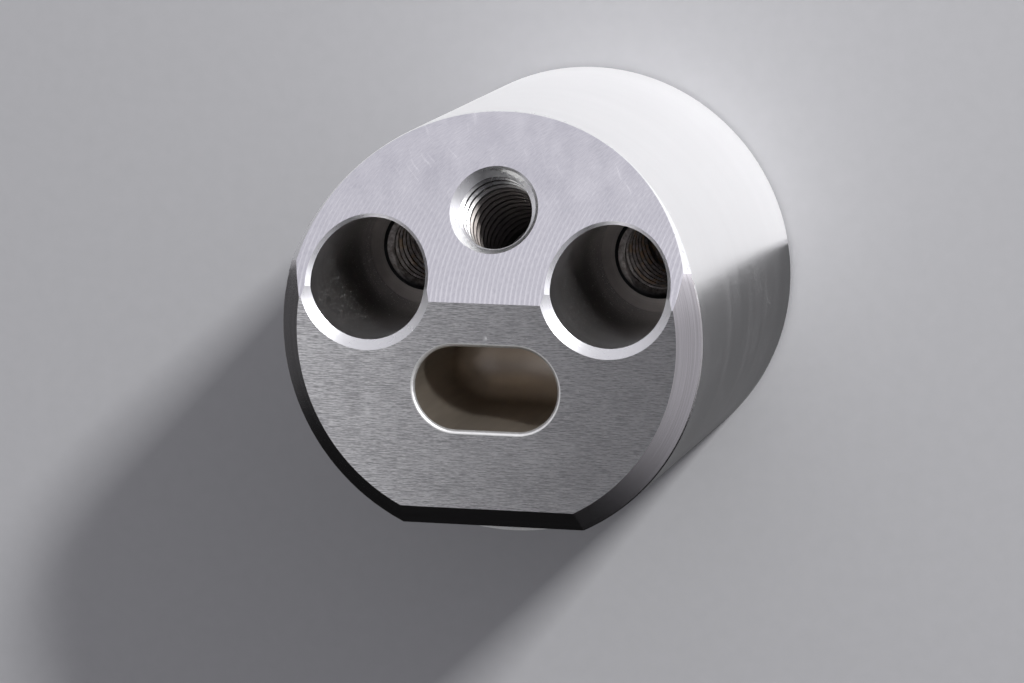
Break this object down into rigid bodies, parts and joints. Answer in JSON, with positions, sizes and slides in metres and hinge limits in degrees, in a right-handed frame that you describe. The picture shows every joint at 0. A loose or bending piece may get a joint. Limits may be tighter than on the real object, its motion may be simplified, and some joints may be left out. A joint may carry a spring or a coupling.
{
  "type": "machined aluminium fitting",
  "caption": "Short turned aluminium bar with a sloping milled face, stepped bores with tapped seats, a tapped hole square to the slope, a round-ended slot and a short flat.",
  "frame": {"origin": "centre of the plain back face, on the bar's axis", "axes": "+Z along the bar's axis from the back face to the machined end, +Y towards the sloping face, -Y towards the flat, +X to the right seen from the machined end"},
  "size_m": [0.04, 0.04, 0.04],
  "materials": {
    "bare_aluminium": "bare metal, turned round the outside and milled on the end"
  },
  "bodies": {
    "root": {"machined_body": "bare_aluminium"}
  },
  "joints": []
}
